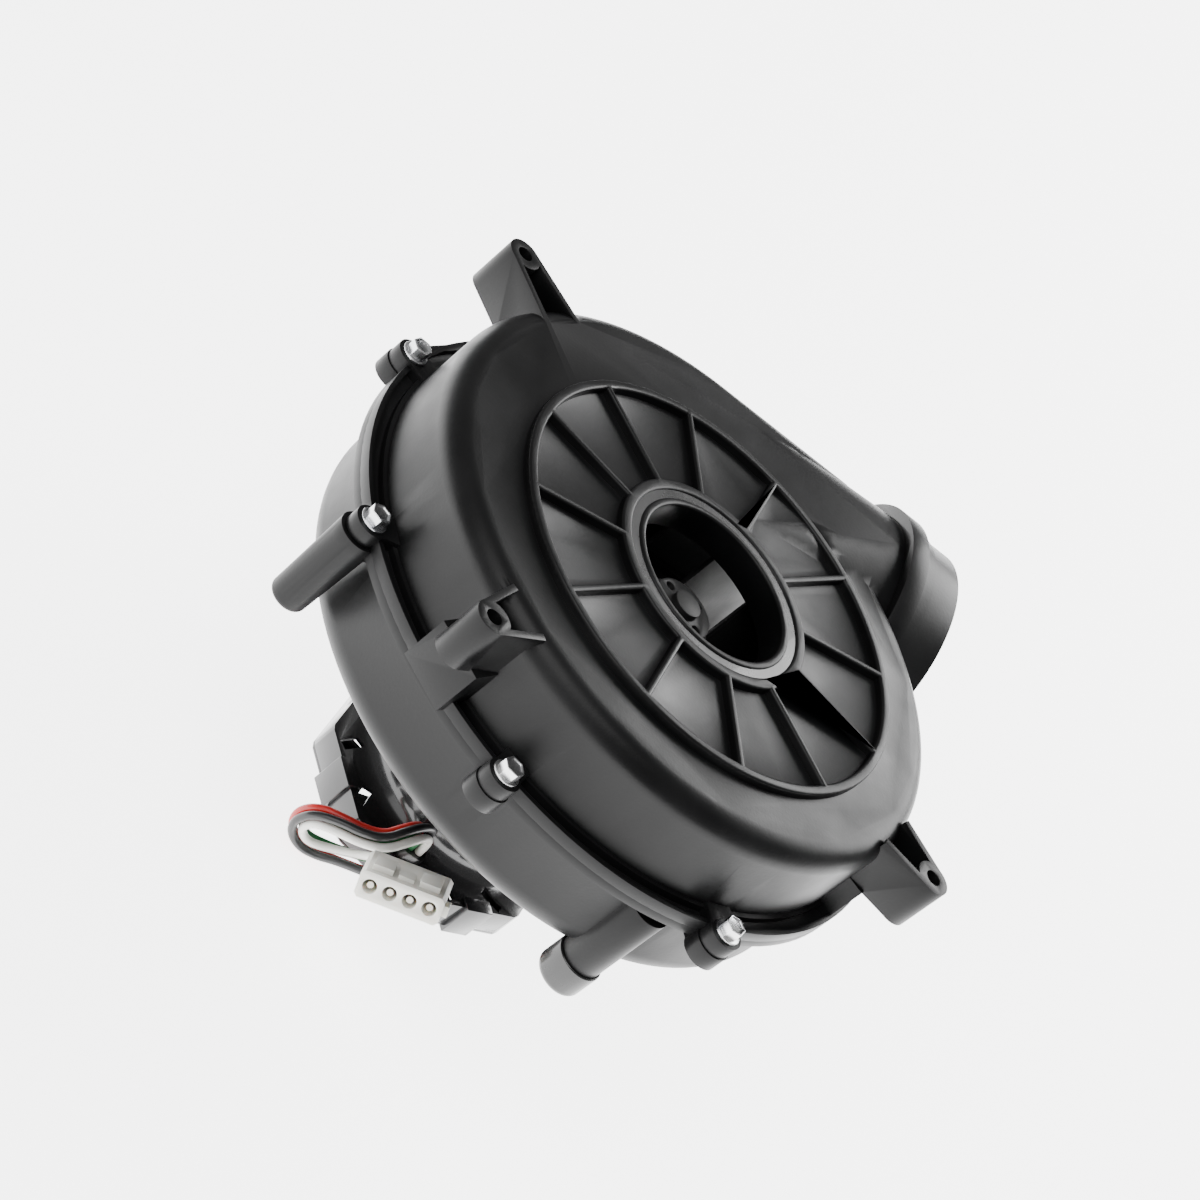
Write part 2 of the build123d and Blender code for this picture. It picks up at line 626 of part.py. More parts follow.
# Each lead's circuit in the plug, its corner of the bundle, and its route from the grommet to the plug.
LEADS = {
    "lead_green": (1, (-1, -1), [
        (-12.5, -36, -117), (-14, -37.5, -113.5), (-17, -40, -112), (-20, -43.5, -113), (-24.5, -46.5, -117),
        (-31, -46.5, -120), (-38, -44.5, -122), (-44, -42.5, -125), (-46, -41, -129), (-44.5, -40, -133.5),
        (-40.5, -39.5, -136.5), (-34.5, -39, -136), (-29, -40.5, -133), (-23, -42.5, -128.5),
        (-18, -44, -124.5)]),
    "lead_white": (0, (1, -1), [
        (-9.5, -36, -116), (-11.5, -38, -111.5), (-15.5, -42, -109.5), (-19.5, -46, -111),
        (-24.5, -49.5, -115.5), (-32, -49.5, -119), (-39, -48, -121.5), (-45, -46, -125.5),
        (-46, -44.5, -130), (-44, -43.5, -133.5), (-40, -43, -135.5), (-35.5, -42.5, -134.5),
        (-30.5, -43, -131.5), (-25.5, -44, -127.5)]),
    "lead_black": (2, (1, 1), [
        (-9.5, -33, -115.5), (-12, -35.5, -109.5), (-17, -40, -107), (-22, -44.5, -108.5), (-26.5, -48, -113),
        (-33, -48.5, -116), (-40, -47, -118.5), (-47.5, -45.5, -123), (-49.5, -44.5, -130),
        (-46.5, -43.5, -136), (-40.5, -43.5, -139), (-34.5, -44, -137.5), (-29.5, -45, -134),
        (-22.5, -48, -129), (-15.5, -49, -125.5), (-10.5, -48, -121)]),
    "lead_red": (3, (-1, 1), [
        (-12.5, -33, -116.5), (-15, -35, -111.5), (-18.5, -38.5, -109.5), (-22.5, -42, -111),
        (-26.5, -45, -114.5), (-32.5, -45, -117), (-39.5, -44, -119), (-46.5, -42, -122.5),
        (-49.5, -41, -129), (-47, -40, -136), (-41, -40, -139.5), (-33.5, -40.5, -139),
        (-28, -42.5, -135.5), (-21, -45, -131), (-14, -46, -127.5), (-7.5, -46.5, -123),
        (-4, -47.5, -117.5)]),
}


def lead_ends(name):
    """Where a lead comes out of the grommet and where it goes into the plug."""
    circuit, corner, _ = LEADS[name]
    x, y = (LEAD_EXIT[i] + corner[i] * LEAD_PITCH / 2 for i in (0, 1))
    return Vector(x, y, GROMMET_TOP), plug_place(circuit, PLUG_DEPTH)


def lead_path(name):
    start, end = lead_ends(name)
    points = [start] + [Vector(*p) for p in LEADS[name][2]]
    points += [end - Vector(*PLUG_OUT) * PLUG_APPROACH, end]
    radii = []
    for a, b, c in zip(points, points[1:], points[2:]):
        turn = math.radians((b - a).get_angle(c - b))
        radii.append(0.45 * min((b - a).length, (c - b).length) / math.tan(turn / 2))
    path = FilletPolyline(*points, radius=radii)
    print(name, "radii", [round(r, 1) for r in radii], "length", round(path.length, 1))
    return path


def lead(name):
    path = lead_path(name)
    section = Plane(origin=path @ 0, z_dir=path % 0) * Circle(LEAD_D / 2)
    tube_part = sweep(section, path=path)
    print(name, "volume ratio", round(tube_part.volume / (path.length * math.pi * LEAD_D**2 / 4), 4))
    return tube_part


def write(name, shape):
    export_step(shape, os.path.join("parts", name + ".step"))
    print(name, round(shape.volume), [round(v, 1) for v in shape.bounding_box().size])


PIECES = {
    "front_housing": front_housing,
    "rear_housing": rear_housing,
    "outlet_coupling": outlet_coupling,
    "inlet_gasket": inlet_gasket,
    "housing_seal": seal_groove,
    "housing_screws": housing_screws,
    "drain_cap": drain_cap,
    "impeller": impeller,
    "impeller_hub": impeller_hub,
    "motor_shaft": motor_shaft,
    "rotor_core": rotor_core,
    "rotor_end_rings": rotor_end_rings,
    "stator_core": stator_core,
    "stator_windings": stator_windings,
    "motor_shell": motor_shell,
    "motor_nuts": motor_nuts,
    "motor_screws": motor_screws,
    "isolation_grommets": isolation_grommets,
    "shaft_seal": shaft_seal,
    "bearing_carrier": bearing_carrier,
    "cooling_fan": cooling_fan,
    "motor_end_cover": motor_end_cover,
    "cover_clips": cover_clips,
    "lead_grommet": lead_grommet,
    "plug_housing": plug_housing,
    "plug_pins": plug_pins,
}

if __name__ == "__main__":
    os.makedirs("parts", exist_ok=True)
    for name, make in PIECES.items():
        write(name, make())
    write("front_bearing", bearing(NOSE_Z - SHEET))
    write("rear_bearing", bearing(CARRIER_Z))
    for name in LEADS:
        write(name, lead(name))
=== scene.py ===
import json
import math

import bmesh
import bpy
from bpy.props import FloatProperty, FloatVectorProperty, PointerProperty
from mathutils import Matrix, Vector

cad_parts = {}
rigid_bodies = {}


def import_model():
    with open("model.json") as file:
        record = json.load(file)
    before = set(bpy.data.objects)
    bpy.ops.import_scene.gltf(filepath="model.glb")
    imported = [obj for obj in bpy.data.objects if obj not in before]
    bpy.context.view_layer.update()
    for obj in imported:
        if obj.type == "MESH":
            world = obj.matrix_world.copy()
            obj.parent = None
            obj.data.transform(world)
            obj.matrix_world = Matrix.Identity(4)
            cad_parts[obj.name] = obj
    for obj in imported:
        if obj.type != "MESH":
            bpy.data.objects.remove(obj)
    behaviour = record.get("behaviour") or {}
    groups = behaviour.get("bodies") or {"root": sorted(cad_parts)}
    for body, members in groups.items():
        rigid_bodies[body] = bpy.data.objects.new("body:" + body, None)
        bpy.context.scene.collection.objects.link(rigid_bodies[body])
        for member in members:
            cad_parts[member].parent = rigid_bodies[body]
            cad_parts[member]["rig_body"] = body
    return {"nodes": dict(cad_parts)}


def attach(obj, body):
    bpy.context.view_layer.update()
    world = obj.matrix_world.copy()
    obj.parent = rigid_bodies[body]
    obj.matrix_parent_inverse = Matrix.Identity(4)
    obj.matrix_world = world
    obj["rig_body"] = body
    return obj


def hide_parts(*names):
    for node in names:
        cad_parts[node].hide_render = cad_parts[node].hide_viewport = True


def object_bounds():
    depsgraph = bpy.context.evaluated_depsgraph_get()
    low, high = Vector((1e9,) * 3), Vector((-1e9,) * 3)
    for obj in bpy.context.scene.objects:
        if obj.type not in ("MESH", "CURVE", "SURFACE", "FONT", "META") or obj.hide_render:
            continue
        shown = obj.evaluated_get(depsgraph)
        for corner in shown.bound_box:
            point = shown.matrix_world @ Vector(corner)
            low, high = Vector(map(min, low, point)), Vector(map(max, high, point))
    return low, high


bl_info = {
    "name": "Draft Inducer Blower",
    "version": (1, 0, 0),
    "blender": (4, 5, 0),
    "location": "3D View > Sidebar > Blower",
    "description": "Finishes a furnace draft inducer blower: mouldings, screws, plug, leads and studio",
    "category": "Object",
}

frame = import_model()
NODES = frame["nodes"]
CAD_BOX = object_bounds()

MM = 0.001
MERGE = 0.002 * MM          # vertices closer than this are one
RIB_TOP = 3.0 * MM          # height of the front face's ribs
RIB_ROUND = 0.9 * MM        # round along the ribs' tops
RIB_REACH = 76 * MM         # the ribs and the collar lie inside this radius
SMALL_ROUND = 0.3 * MM      # round on the wheel's and the motor's edges
SHANK_RADIUS = 1.9 * MM
SHANK_LENGTH = 10 * MM
FLOOR_GAP = 2 * MM
FLOOR_GLOW = 4.5
WORLD_LIGHT = 0.35
SCREW_TURN = 17             # degrees from one screw's hexagon to the next
FLOOR_SIZE = 6.0
# name, place in metres, width in metres and the setting that holds its power
LAMPS = (
    ("key", (-0.7, -0.5, 1.5), 1.3, "key_power"),
    ("fill", (-1.4, -1.3, 0.6), 1.2, "fill_power"),
    ("rim", (1.1, 0.9, 0.7), 1.0, "rim_power"),
)
CAMERA_PLACE = (-0.4459, -0.8406, 0.5359)
CAMERA_RIGHT = (0.7399, 0.0732, 0.6687)
CAMERA_BACK = (-0.388, -0.7656, 0.5131)
SENSOR_WIDTH = 36


# ---------------------------------------------------------------- sizes and colours


class MouldingSettings(bpy.types.PropertyGroup):
    """Sizes and colour of the moulded housing."""

    edge_round: FloatProperty(
        name="Edge round",
        description="Width of the small round on every moulded edge",
        default=0.45 * MM,
        min=0.05 * MM,
        unit="LENGTH",
    )
    colour: FloatVectorProperty(
        name="Plastic",
        description="Colour of the glass filled plastic",
        subtype="COLOR",
        size=3,
        default=(0.0035, 0.0035, 0.0037),
        min=0,
        max=1,
    )
    roughness: FloatProperty(
        name="Roughness",
        description="Roughness of the satin moulded face",
        default=0.38,
        min=0,
        max=1,
        subtype="FACTOR",
    )


class FixingSettings(bpy.types.PropertyGroup):
    """Sizes of the hex washer head screws."""

    head_width: FloatProperty(
        name="Head across flats",
        description="Across the flats of the screw head",
        default=6.35 * MM,
        unit="LENGTH",
    )
    head_height: FloatProperty(
        name="Head height",
        description="Height of the hexagon above its washer",
        default=3.6 * MM,
        unit="LENGTH",
    )
    washer_radius: FloatProperty(
        name="Washer radius",
        description="Radius of the washer under the hexagon",
        default=4.5 * MM,
        unit="LENGTH",
    )
    washer_height: FloatProperty(
        name="Washer height",
        description="Thickness of the washer under the hexagon",
        default=0.9 * MM,
        unit="LENGTH",
    )


class WiringSettings(bpy.types.PropertyGroup):
    """Sizes and colours of the leads and the plug."""

    lead_diameter: FloatProperty(
        name="Lead diameter",
        description="Outside diameter of a lead",
        default=2.8 * MM,
        unit="LENGTH",
    )
    nylon: FloatVectorProperty(
        name="Nylon",
        description="Colour of the plug's natural nylon",
        subtype="COLOR",
        size=3,
        default=(0.80, 0.79, 0.73),
        min=0,
        max=1,
    )


class StudioSettings(bpy.types.PropertyGroup):
    """Floor, lights and camera."""

    key_power: FloatProperty(
        name="Key light",
        description="Power of the big light above",
        default=24.0,
        min=0,
        unit="POWER",
    )
    fill_power: FloatProperty(
        name="Fill light",
        description="Power of the light on the left",
        default=7.0,
        min=0,
        unit="POWER",
    )
    rim_power: FloatProperty(
        name="Rim light",
        description="Power of the light behind",
        default=30.0,
        min=0,
        unit="POWER",
    )
    lens: FloatProperty(
        name="Lens",
        description="Focal length of the camera on a 36 mm sensor",
        default=108.0,
        min=10,
        unit="CAMERA",
    )


# ---------------------------------------------------------------- node helpers


def new_material(name):
    material = bpy.data.materials.new(name)
    material.use_nodes = True
    nodes = material.node_tree.nodes
    nodes.clear()
    shader = nodes.new("ShaderNodeBsdfPrincipled")
    shader.name = "Shader"
    shader.location = (200, 0)
    output = nodes.new("ShaderNodeOutputMaterial")
    output.location = (500, 0)
    material.node_tree.links.new(shader.outputs["BSDF"], output.inputs["Surface"])
    return material, shader


def group_socket(group, name, direction, kind, default=None):
    socket = group.interface.new_socket(name=name, in_out=direction, socket_type=kind)
    if default is not None:
        socket.default_value = default
    return socket


def node_at(tree, kind, x, y):
    node = tree.nodes.new(kind)
    node.location = (x, y)
    return node


def noise_node(tree, x, y, scale, detail=3.0, roughness=0.55):
    node = node_at(tree, "ShaderNodeTexNoise", x, y)
    node.inputs["Scale"].default_value = scale
    node.inputs["Detail"].default_value = detail
    node.inputs["Roughness"].default_value = roughness
    return node


def range_node(tree, x, y, low, high, to_low=0.0, to_high=1.0):
    node = node_at(tree, "ShaderNodeMapRange", x, y)
    node.inputs["From Min"].default_value = low
    node.inputs["From Max"].default_value = high
    node.inputs["To Min"].default_value = to_low
    node.inputs["To Max"].default_value = to_high
    return node


def mottle_group():
    """Slow clouding, fine grain and faint streaks, as a moulded or painted surface has them."""
    found = bpy.data.node_groups.get("Surface Mottle")
    if found:
        return found
    group = bpy.data.node_groups.new("Surface Mottle", "ShaderNodeTree")
    group_socket(group, "Cloud Scale", "INPUT", "NodeSocketFloat", 30.0)
    group_socket(group, "Grain Scale", "INPUT", "NodeSocketFloat", 1400.0)
    group_socket(group, "Streaks", "INPUT", "NodeSocketFloat", 0.3)
    group_socket(group, "Cloud", "OUTPUT", "NodeSocketFloat")
    group_socket(group, "Grain", "OUTPUT", "NodeSocketFloat")
    group_socket(group, "Scuff", "OUTPUT", "NodeSocketFloat")
    source = node_at(group, "NodeGroupInput", -900, 0)
    place = node_at(group, "ShaderNodeTexCoord", -900, -260)
    cloud = noise_node(group, -600, 200, 30.0, 4.0)
    grain = noise_node(group, -600, -40, 1400.0, 2.0)
    stretch = node_at(group, "ShaderNodeMapping", -700, -320)
    stretch.inputs["Rotation"].default_value = (0.3, 0.9, 0.5)
    stretch.inputs["Scale"].default_value = (260.0, 18.0, 60.0)
    streak = noise_node(group, -500, -320, 1.0, 5.0, 0.7)
    cut = range_node(group, -300, -320, 0.60, 0.78)
    amount = node_at(group, "ShaderNodeMath", -100, -320)
    amount.operation = "MULTIPLY"
    target = node_at(group, "NodeGroupOutput", 200, 0)
    link = group.links.new
    link(place.outputs["Object"], cloud.inputs["Vector"])
    link(place.outputs["Object"], grain.inputs["Vector"])
    link(place.outputs["Object"], stretch.inputs["Vector"])
    link(stretch.outputs["Vector"], streak.inputs["Vector"])
    link(source.outputs["Cloud Scale"], cloud.inputs["Scale"])
    link(source.outputs["Grain Scale"], grain.inputs["Scale"])
    link(streak.outputs["Fac"], cut.inputs["Value"])
    link(cut.outputs["Result"], amount.inputs[0])
    link(source.outputs["Streaks"], amount.inputs[1])
    link(cloud.outputs["Fac"], target.inputs["Cloud"])
    link(grain.outputs["Fac"], target.inputs["Grain"])
    link(amount.outputs["Value"], target.inputs["Scuff"])
    return group


def surface_material(
    name,
    dark,
    light,
    rough,
    cloud_scale=30.0,
    grain_scale=1400.0,
    streaks=0.3,
    bump=0.05,
    bump_distance=0.0002,
):
    """A material whose colour, roughness and fine relief all come from the mottle."""
    material, shader = new_material(name)
    tree = material.node_tree
    mottle = node_at(tree, "ShaderNodeGroup", -700, 0)
    mottle.node_tree = mottle_group()
    mottle.inputs["Cloud Scale"].default_value = cloud_scale
    mottle.inputs["Grain Scale"].default_value = grain_scale
    mottle.inputs["Streaks"].default_value = streaks
    spread = range_node(tree, -500, 220, 0.32, 0.68)
    mix = node_at(tree, "ShaderNodeMix", -250, 200)
    mix.data_type = "RGBA"
    mix.inputs["A"].default_value = (*dark, 1.0)
    mix.inputs["B"].default_value = (*light, 1.0)
    scuff = node_at(tree, "ShaderNodeMix", -50, 260)
    scuff.data_type = "RGBA"
    scuff.inputs["B"].default_value = (*[min(1.0, c * 1.8 + 0.006) for c in light], 1.0)
    gloss = range_node(tree, -250, -60, 0.3, 0.7, rough[0], rough[1])
    relief = node_at(tree, "ShaderNodeBump", -50, -260)
    relief.inputs["Strength"].default_value = bump
    relief.inputs["Distance"].default_value = bump_distance
    link = tree.links.new
    link(mottle.outputs["Cloud"], spread.inputs["Value"])
    link(spread.outputs["Result"], mix.inputs["Factor"])
    link(mix.outputs["Result"], scuff.inputs["A"])
    link(mottle.outputs["Scuff"], scuff.inputs["Factor"])
    link(scuff.outputs["Result"], shader.inputs["Base Color"])
    link(mottle.outputs["Cloud"], gloss.inputs["Value"])
    link(gloss.outputs["Result"], shader.inputs["Roughness"])
    link(mottle.outputs["Grain"], relief.inputs["Height"])
    link(relief.outputs["Normal"], shader.inputs["Normal"])
    return material, shader


def cached(name, make):
    return bpy.data.materials.get(name) or make(name)


def housing_plastic(name="Housing Plastic"):
    def make(label):
        settings = bpy.context.scene.blower_moulding
        base = settings.colour
        rough = settings.roughness
        material, shader = surface_material(
            label,
            [c * 0.75 for c in base],
            [c * 1.35 for c in base],
            (rough - 0.08, rough + 0.10),
            cloud_scale=26.0,
            grain_scale=900.0,
            streaks=0.22,
            bump=0.22,
            bump_distance=0.00012,
        )
        shader.inputs["Specular IOR Level"].default_value = 0.2
        return material

    return cached(name, make)


def wheel_plastic(name="Wheel Plastic"):
    def make(label):
        dark = (0.003, 0.003, 0.003)
        return surface_material(label, dark, (0.005, 0.005, 0.005), (0.42, 0.6), 40.0, 1100.0, 0.1, 0.15)[0]

    return cached(name, make)


def black_rubber(name="Black Rubber"):
    def make(label):
        material, shader = surface_material(
            label, (0.010, 0.010, 0.010), (0.018, 0.018, 0.018), (0.22, 0.36), 60.0, 700.0, 0.12, 0.1
        )
        shader.inputs["Coat Weight"].default_value = 0.25
        return material

    return cached(name, make)


def motor_paint(name="Motor Paint"):
    def make(label):
        material, shader = surface_material(
            label, (0.008, 0.008, 0.009), (0.014, 0.014, 0.015), (0.16, 0.30), 22.0, 420.0, 0.15, 0.12
        )
        shader.inputs["Coat Weight"].default_value = 0.6
        shader.inputs["Coat Roughness"].default_value = 0.08
        return material

    return cached(name, make)


def metal_material(name, dark, light, rough, streaks=0.2):
    def make(label):
        material, shader = surface_material(label, dark, light, rough, 90.0, 2200.0, streaks, 0.12, 0.00008)
        shader.inputs["Metallic"].default_value = 1.0
        return material

    return cached(name, make)


def zinc_steel():
    return metal_material("Zinc Plate", (0.62, 0.63, 0.66), (0.80, 0.80, 0.79), (0.20, 0.34))


def shaft_steel():
    return metal_material("Ground Steel", (0.45, 0.45, 0.46), (0.6, 0.6, 0.61), (0.2, 0.3))


def lamination_steel(name="Stacked Laminations"):
    """Thin sheets seen on edge: fine level bands across bare electrical steel."""

    def make(label):
        material, shader = new_material(label)
        tree = material.node_tree
        place = node_at(tree, "ShaderNodeTexCoord", -900, 0)
        bands = node_at(tree, "ShaderNodeTexWave", -650, 0)
        bands.bands_direction = "Z"
        bands.inputs["Scale"].default_value = 320.0
        bands.inputs["Distortion"].default_value = 0.2
        ramp = node_at(tree, "ShaderNodeValToRGB", -400, 120)
        ramp.color_ramp.elements[0].color = (0.10, 0.10, 0.11, 1)
        ramp.color_ramp.elements[1].color = (0.34, 0.34, 0.35, 1)
        relief = node_at(tree, "ShaderNodeBump", -300, -200)
        relief.inputs["Strength"].default_value = 0.4
        relief.inputs["Distance"].default_value = 0.0002
        link = tree.links.new
        link(place.outputs["Object"], bands.inputs["Vector"])
        link(bands.outputs["Fac"], ramp.inputs["Fac"])
        link(ramp.outputs["Color"], shader.inputs["Base Color"])
        link(bands.outputs["Fac"], relief.inputs["Height"])
        link(relief.outputs["Normal"], shader.inputs["Normal"])
        shader.inputs["Metallic"].default_value = 1.0
        shader.inputs["Roughness"].default_value = 0.42
        return material

    return cached(name, make)


def cast_aluminium():
    return metal_material("Cast Aluminium", (0.5, 0.5, 0.51), (0.68, 0.68, 0.69), (0.4, 0.55), 0.1)


def bearing_bronze():
    return metal_material("Sintered Bronze", (0.36, 0.24, 0.12), (0.52, 0.36, 0.18), (0.38, 0.5), 0.05)


def contact_metal():
    return metal_material("Tinned Contact", (0.55, 0.52, 0.46), (0.74, 0.70, 0.62), (0.2, 0.32), 0.05)


def copper_winding(name="Copper Winding"):
    """Turns of enamelled wire, as rings round the axis."""

    def make(label):
        material, shader = new_material(label)
        tree = material.node_tree
        place = node_at(tree, "ShaderNodeTexCoord", -900, 0)
        turns = node_at(tree, "ShaderNodeTexWave", -650, 0)
        turns.wave_type = "RINGS"
        turns.rings_direction = "Z"
        turns.inputs["Scale"].default_value = 260.0
        turns.inputs["Distortion"].default_value = 1.2
        ramp = node_at(tree, "ShaderNodeValToRGB", -400, 120)
        ramp.color_ramp.elements[0].color = (0.20, 0.05, 0.015, 1)
        ramp.color_ramp.elements[1].color = (0.62, 0.24, 0.08, 1)
        relief = node_at(tree, "ShaderNodeBump", -300, -200)
        relief.inputs["Strength"].default_value = 0.5
        relief.inputs["Distance"].default_value = 0.0003
        link = tree.links.new
        link(place.outputs["Object"], turns.inputs["Vector"])
        link(turns.outputs["Fac"], ramp.inputs["Fac"])
        link(ramp.outputs["Color"], shader.inputs["Base Color"])
        link(turns.outputs["Fac"], relief.inputs["Height"])
        link(relief.outputs["Normal"], shader.inputs["Normal"])
        shader.inputs["Metallic"].default_value = 0.85
        shader.inputs["Roughness"].default_value = 0.3
        return material

    return cached(name, make)


def white_nylon(name="Natural Nylon"):
    def make(label):
        base = bpy.context.scene.blower_wiring.nylon
        material, shader = surface_material(
            label, [c * 0.93 for c in base], list(base), (0.30, 0.42), 70.0, 800.0, 0.0, 0.06
        )
        shader.inputs["Subsurface Weight"].default_value = 0.25
        shader.inputs["Subsurface Radius"].default_value = (0.004, 0.0035, 0.003)
        shader.inputs["Subsurface Scale"].default_value = 0.5
        return material

    return cached(name, make)


def insulation(name, colour):
    def make(label):
        dark = [c * 0.8 for c in colour]
        material, shader = surface_material(label, dark, colour, (0.28, 0.42), 120.0, 900.0, 0.08, 0.08)
        shader.inputs["Coat Weight"].default_value = 0.2
        return material

    return cached(name, make)


# ---------------------------------------------------------------- modelling helpers


def deselect():
    if bpy.context.object and bpy.context.object.mode != "OBJECT":
        bpy.ops.object.mode_set(mode="OBJECT")
    bpy.ops.object.select_all(action="DESELECT")


def pick(obj):
    deselect()
    obj.select_set(True)
    bpy.context.view_layer.objects.active = obj


def settle(obj):
    """Puts an object's place into its mesh and leaves the object at the origin."""
    pick(obj)
    bpy.ops.object.transform_apply(location=True, rotation=True, scale=True)


def select_where(obj, test, kind="FACE"):
    """Selects an active edit mesh's faces, edges or verts whose centre and normal pass the test."""
    mesh = bmesh.from_edit_mesh(obj.data)
    bpy.context.tool_settings.mesh_select_mode = (kind == "VERT", kind == "EDGE", kind == "FACE")
    items = {"FACE": mesh.faces, "EDGE": mesh.edges, "VERT": mesh.verts}[kind]
    for every in (mesh.verts, mesh.edges, mesh.faces):
        for item in every:
            item.select = False
    for item in items:
        if kind == "FACE":
            centre, normal = item.calc_center_median(), item.normal
        elif kind == "EDGE":
            centre = (item.verts[0].co + item.verts[1].co) / 2
            normal = item.verts[1].co - item.verts[0].co
        else:
            centre, normal = item.co, item.normal
        if test(centre, normal):
            item.select_set(True)
    bmesh.update_edit_mesh(obj.data)


def apply_modifiers(obj):
    pick(obj)
    for modifier in list(obj.modifiers):
        bpy.ops.object.modifier_apply(modifier=modifier.name)


def give(obj, material):
    obj.data.materials.clear()
    obj.data.materials.append(material)


def smooth(obj, degrees=32.0):
    pick(obj)
    bpy.ops.object.shade_smooth_by_angle(angle=math.radians(degrees))


def round_edges(obj, test, width, segments=4):
    """Bevels the edges whose centre and direction pass the test."""
    bpy.ops.object.mode_set(mode="EDIT")
    select_where(obj, test, "EDGE")
    bpy.ops.mesh.bevel(offset=width, segments=segments, affect="EDGES", clamp_overlap=False)
    bpy.ops.object.mode_set(mode="OBJECT")


def on_rib_top(centre, along):
    """An edge round the top of the front face's ribs and collar."""
    radius = math.hypot(centre.x, centre.y)
    level = abs(centre.z - RIB_TOP) < 0.02 * MM and abs(along.z) < 0.02 * MM
    return level and radius < RIB_REACH


def softened(node, name, width, segments=2, angle=38.0, rounds=()):
    """A copy of a CAD piece with its loose triangles merged and every sharp edge rounded."""
    deselect()
    source = NODES[node]
    source.select_set(True)
    bpy.context.view_layer.objects.active = source
    bpy.ops.object.duplicate()
    obj = bpy.context.object
    obj.name = name
    for key in [k for k in obj.keys() if k.startswith("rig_")]:
        del obj[key]
    obj.parent = None
    obj.matrix_world = Matrix.Identity(4)
    bpy.ops.object.mode_set(mode="EDIT")
    bpy.ops.mesh.select_all(action="SELECT")
    bpy.ops.mesh.remove_doubles(threshold=MERGE)
    bpy.ops.mesh.dissolve_limited(angle_limit=math.radians(0.8))
    bpy.ops.object.mode_set(mode="OBJECT")
    for test, size in rounds:
        round_edges(obj, test, size)
    bevel = obj.modifiers.new("Edge round", "BEVEL")
    bevel.width = width
    bevel.segments = segments
    bevel.limit_method = "ANGLE"
    bevel.angle_limit = math.radians(angle)
    bevel.use_clamp_overlap = True
    bevel.harden_normals = False
    apply_modifiers(obj)
    smooth(obj)
    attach(obj, NODES[node]["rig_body"])
    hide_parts(node)
    return obj


# ---------------------------------------------------------------- operators


class BLOWER_OT_housing(bpy.types.Operator):
    """Rounds the housing halves' and the outlet's edges and gives them moulded plastic"""

    bl_idname = "blower.housing"
    bl_label = "Housing"

    def execute(self, context):
        width = context.scene.blower_moulding.edge_round
        rounds = {"front_housing": [(on_rib_top, RIB_ROUND)]}
        for node in ("front_housing", "rear_housing", "outlet_coupling"):
            piece = softened(node, node + "_moulding", width, rounds=rounds.get(node, ()))
            give(piece, housing_plastic())
        return {"FINISHED"}


class BLOWER_OT_wheel(bpy.types.Operator):
    """Finishes the wheel, its hub, the shaft and the rotor"""

    bl_idname = "blower.wheel"
    bl_label = "Wheel"

    def execute(self, context):
        for node in ("impeller", "impeller_hub", "cooling_fan"):
            piece = softened(node, node + "_moulding", SMALL_ROUND)
            give(piece, wheel_plastic())
        give(NODES["motor_shaft"], shaft_steel())
        give(NODES["rotor_core"], lamination_steel())
        give(NODES["rotor_end_rings"], cast_aluminium())
        return {"FINISHED"}


class BLOWER_OT_rubber(bpy.types.Operator):
    """Finishes the drain cap, the gasket, the seals and the grommets"""

    bl_idname = "blower.rubber"
    bl_label = "Rubber"

    def execute(self, context):
        cap = softened("drain_cap", "drain_cap_moulding", 0.5 * MM, 3)
        give(cap, black_rubber())
        for node in ("inlet_gasket", "housing_seal", "isolation_grommets", "shaft_seal", "lead_grommet"):
            give(NODES[node], black_rubber())
        return {"FINISHED"}


class BLOWER_OT_motor(bpy.types.Operator):
    """Finishes the motor's shells and what is inside them"""

    bl_idname = "blower.motor"
    bl_label = "Motor"

    def execute(self, context):
        for node in ("motor_shell", "motor_end_cover", "cover_clips"):
            piece = softened(node, node + "_pressing", SMALL_ROUND)
            give(piece, motor_paint())
        give(NODES["bearing_carrier"], motor_paint())
        give(NODES["stator_core"], lamination_steel())
        give(NODES["stator_windings"], copper_winding())
        for node in ("front_bearing", "rear_bearing"):
            give(NODES[node], bearing_bronze())
        for node in ("motor_nuts", "motor_screws"):
            give(NODES[node], zinc_steel())
        return {"FINISHED"}


def screw_centres():
    """Centre and highest point of each housing screw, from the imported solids."""
    mesh = NODES["housing_screws"].data
    work = bmesh.new()
    work.from_mesh(mesh)
    bmesh.ops.remove_doubles(work, verts=work.verts, dist=MERGE)
    left = set(work.verts)
    centres = []
    while left:
        stack = [left.pop()]
        island = list(stack)
        while stack:
            for edge in stack.pop().link_edges:
                for other in edge.verts:
                    if other in left:
                        left.remove(other)
                        stack.append(other)
                        island.append(other)
        low = Vector([min(v.co[i] for v in island) for i in range(3)])
        high = Vector([max(v.co[i] for v in island) for i in range(3)])
        centres.append(((low + high) / 2, high.z))
    work.free()
    return sorted(centres, key=lambda item: math.atan2(item[0].y, item[0].x))


